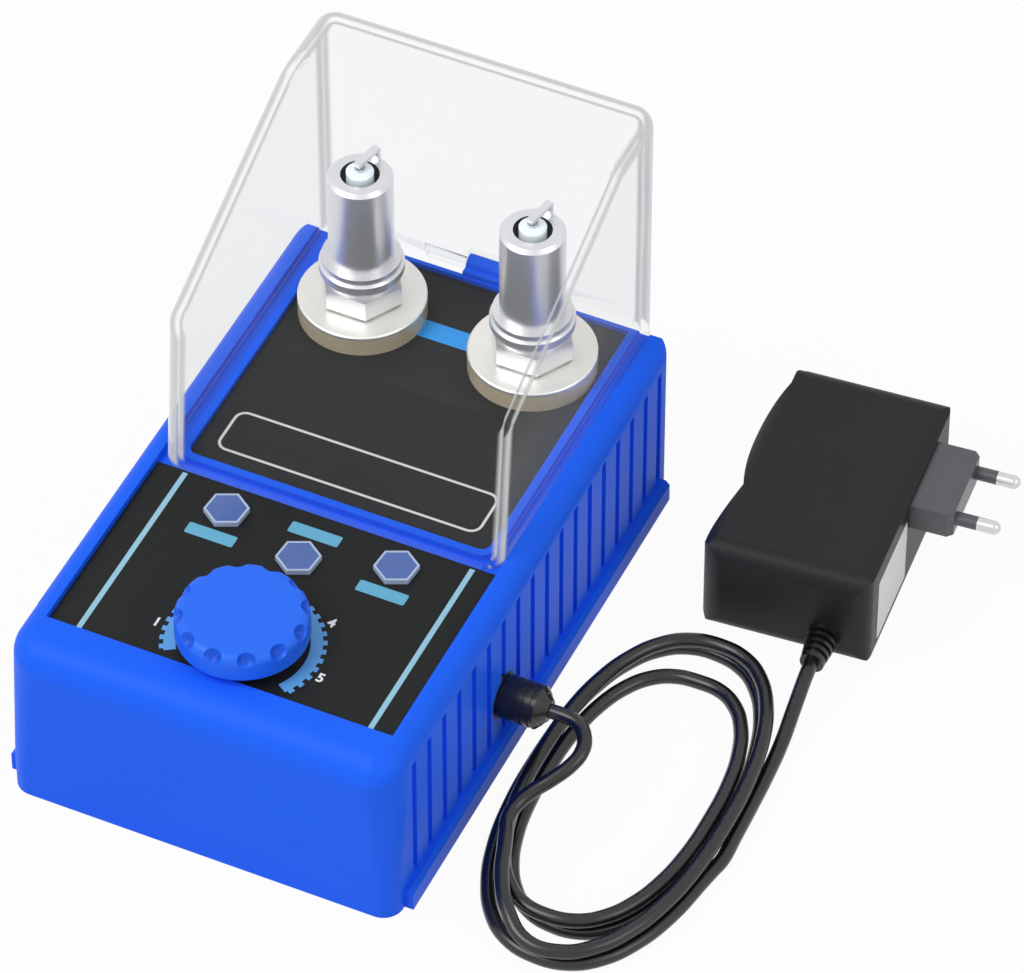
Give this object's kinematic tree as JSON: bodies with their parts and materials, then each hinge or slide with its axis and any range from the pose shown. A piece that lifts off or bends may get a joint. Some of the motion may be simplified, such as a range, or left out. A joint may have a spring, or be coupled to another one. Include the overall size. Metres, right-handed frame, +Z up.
{
  "type": "spark plug tester",
  "caption": "Bench spark plug tester: blue housing with a rate knob and indicator lights, plug sockets under a hinged clear cover, and a mains adapter on a coiled low-voltage cord.",
  "frame": {"origin": "bottom centre of the tester's own box, on the surface it stands on", "axes": "+X to the jack side, +Y to the hinge of the cover, +Z up"},
  "size_m": [0.1661, 0.163, 0.1056],
  "materials": {
    "housing_blue": "smooth moulded ABS with a soft sheen",
    "knob_blue": "smooth moulded plastic with a soft sheen",
    "screw_steel": "zinc-plated steel",
    "panel_print": "dark grey printed film",
    "deck_print": "dark grey printed film",
    "clear_acrylic": "clear moulded acrylic",
    "bezel_pale": "pale moulded plastic",
    "lens_blue": "milky blue-grey lens",
    "led_white": "epoxy",
    "board_green": "solder-masked laminate",
    "part_black": "moulded black plastic and potting",
    "wire_red": "silicone insulated wire",
    "amber_resin": "tan electrical laminate, polished",
    "bright_metal": "polished plate",
    "contact_brass": "turned brass",
    "plug_plating": "bright nickel plating",
    "plug_ceramic": "glazed white ceramic",
    "plug_core": "nickel alloy",
    "pin_metal": "nickel-plated pins",
    "cord_black": "soft black PVC",
    "adapter_black": "satin black moulded plastic",
    "winding": "taped transformer"
  },
  "bodies": {
    "tester": {"upper_housing": "housing_blue", "base_cover": "housing_blue", "case_screws": "screw_steel", "control_label": "panel_print", "deck_label": "deck_print", "hinge_pin": "clear_acrylic", "pot_body": "part_black", "pot_nut": "screw_steel", "indicator_bezels": "bezel_pale", "indicator_lenses": "lens_blue", "indicator_leds": "led_white", "control_board": "board_green", "board_screws": "screw_steel", "board_parts": "part_black", "ignition_coil": "part_black", "hv_leads": "wire_red", "left_socket": "amber_resin", "right_socket": "amber_resin", "left_ground_disc": "bright_metal", "right_ground_disc": "bright_metal", "socket_nuts": "part_black", "contact_cups": "contact_brass", "contact_nuts": "contact_brass", "dc_jack": "part_black", "supply_leads": "wire_red", "dc_plug_grip": "cord_black", "dc_plug_barrel": "pin_metal", "plug_lead": "cord_black", "cord_coil": "cord_black", "adapter_lead": "cord_black", "strain_relief": "cord_black", "adapter_back_shell": "adapter_black", "adapter_pin_shell": "adapter_black", "adapter_plug_block": "adapter_black", "adapter_pins": "pin_metal", "adapter_board": "board_green", "adapter_transformer": "winding"},
    "cover": {"clear_cover": "clear_acrylic"},
    "knob": {"control_knob": "knob_blue", "pot_shaft": "screw_steel"},
    "left_plug": {"left_plug_shell": "plug_plating", "left_plug_gasket": "plug_plating", "left_plug_ceramic": "plug_ceramic", "left_plug_electrode": "plug_core", "left_plug_terminal": "plug_core"},
    "right_plug": {"right_plug_shell": "plug_plating", "right_plug_gasket": "plug_plating", "right_plug_ceramic": "plug_ceramic", "right_plug_electrode": "plug_core", "right_plug_terminal": "plug_core"}
  },
  "joints": [
    {"name": "cover_hinge", "type": "hinge", "parent": "tester", "child": "cover", "pos_m": [0, 0.0692, 0.0442], "axis": [-1, 0, 0], "range_deg": [0, 105]},
    {"name": "knob_turn", "type": "hinge", "parent": "tester", "child": "knob", "pos_m": [0, -0.0486, 0.0454], "axis": [0, 0, 1], "range_deg": [-135, 135]},
    {"name": "left_plug_lift", "type": "slide", "parent": "tester", "child": "left_plug", "axis": [0, 0, 1], "range_m": [0, 0.012]},
    {"name": "right_plug_lift", "type": "slide", "parent": "tester", "child": "right_plug", "axis": [0, 0, 1], "range_m": [0, 0.012]}
  ]
}
